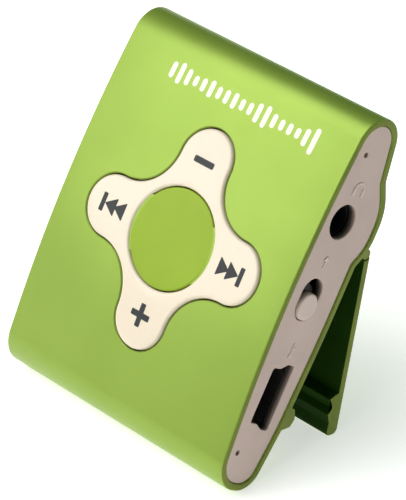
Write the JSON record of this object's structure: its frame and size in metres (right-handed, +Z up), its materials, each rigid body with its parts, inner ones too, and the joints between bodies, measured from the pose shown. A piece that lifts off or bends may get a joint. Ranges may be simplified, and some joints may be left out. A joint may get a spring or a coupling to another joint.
{
  "type": "clip-on digital audio player",
  "caption": "Pocket audio player with an extruded metal sleeve, plastic end caps, a round button in a four-way key, and a sprung clip on its back that it also stands on.",
  "frame": {"origin": "centre of the object's box, on the surface it stands on", "axes": "+Z straight up with the player leaning back on its open clip, +X to the right along the sleeve, the front face towards -Y and up"},
  "size_m": [0.036, 0.0276, 0.0397],
  "materials": {
    "green_metal": "fine blasted and anodised green, satin",
    "cap_plastic": "fine matt moulded grain",
    "key_plastic": "smooth gloss white, printed symbols",
    "button_plastic": "satin green",
    "silicone": "matt translucent silicone",
    "board": "green solder mask",
    "frame_plastic": "matt dark grey",
    "black_plastic": "matt black",
    "steel": "plain bright steel",
    "contact_gold": "thin gold plating",
    "pouch_foil": "soft foil pouch",
    "tape": "thin amber tape",
    "red_wire": "red insulation",
    "black_wire": "black insulation"
  },
  "bodies": {
    "player": {"battery_cell": "pouch_foil", "battery_lead_black": "black_wire", "battery_lead_red": "red_wire", "battery_tape": "tape", "board_screw_1": "steel", "board_screw_2": "steel", "board_screw_3": "steel", "board_screw_4": "steel", "body_shell": "green_metal", "circuit_board": "board", "controller_chip": "black_plastic", "crystal": "steel", "end_cap_left": "cap_plastic", "end_cap_right": "cap_plastic", "hinge_pin": "steel", "inner_frame": "frame_plastic", "jack_contact_ring": "contact_gold", "jack_contact_sleeve": "contact_gold", "jack_contact_tip": "contact_gold", "jack_housing": "black_plastic", "memory_chip": "black_plastic", "switch_case": "steel", "tact_switch_bottom": "steel", "tact_switch_centre": "steel", "tact_switch_left": "steel", "tact_switch_right": "steel", "tact_switch_top": "steel", "usb_contact_1": "contact_gold", "usb_contact_2": "contact_gold", "usb_contact_3": "contact_gold", "usb_contact_4": "contact_gold", "usb_contact_5": "contact_gold", "usb_shell": "steel", "usb_tongue": "black_plastic"},
    "clip": {"clip": "green_metal", "clip_spring": "steel"},
    "centre_button": {"centre_button": "button_plastic"},
    "key_web": {"key_web": "silicone"},
    "key": {"four_way_key": "key_plastic"},
    "switch": {"switch_knob": "cap_plastic", "switch_lever": "black_plastic"}
  },
  "joints": [
    {"name": "clip_hinge", "type": "hinge", "parent": "player", "child": "clip", "pos_m": [-0.0001, 0.00924, 0.02271], "axis": [1, 0, 0], "range_deg": [-16.3, 14], "stiffness_Nm_per_rad": 0.08},
    {"name": "centre_press", "type": "slide", "parent": "player", "child": "centre_button", "axis": [0, 0.8374, -0.5466], "range_m": [0, 0.0003], "stiffness_N_per_m": 800},
    {"name": "key_tip_up_down", "type": "hinge", "parent": "player", "child": "key_web", "pos_m": [-0.0001, -0.0027, 0.02179], "axis": [1, 0, 0], "range_deg": [-1.5, 1.5], "stiffness_Nm_per_rad": 0.05},
    {"name": "key_tip_left_right", "type": "hinge", "parent": "key_web", "child": "key", "pos_m": [-0.0001, -0.0027, 0.02179], "axis": [0, 0.5466, 0.8374], "range_deg": [-1.5, 1.5], "stiffness_Nm_per_rad": 0.05},
    {"name": "power_slide", "type": "slide", "parent": "player", "child": "switch", "axis": [0, 0.5466, 0.8374], "range_m": [0, 0.00165]}
  ]
}
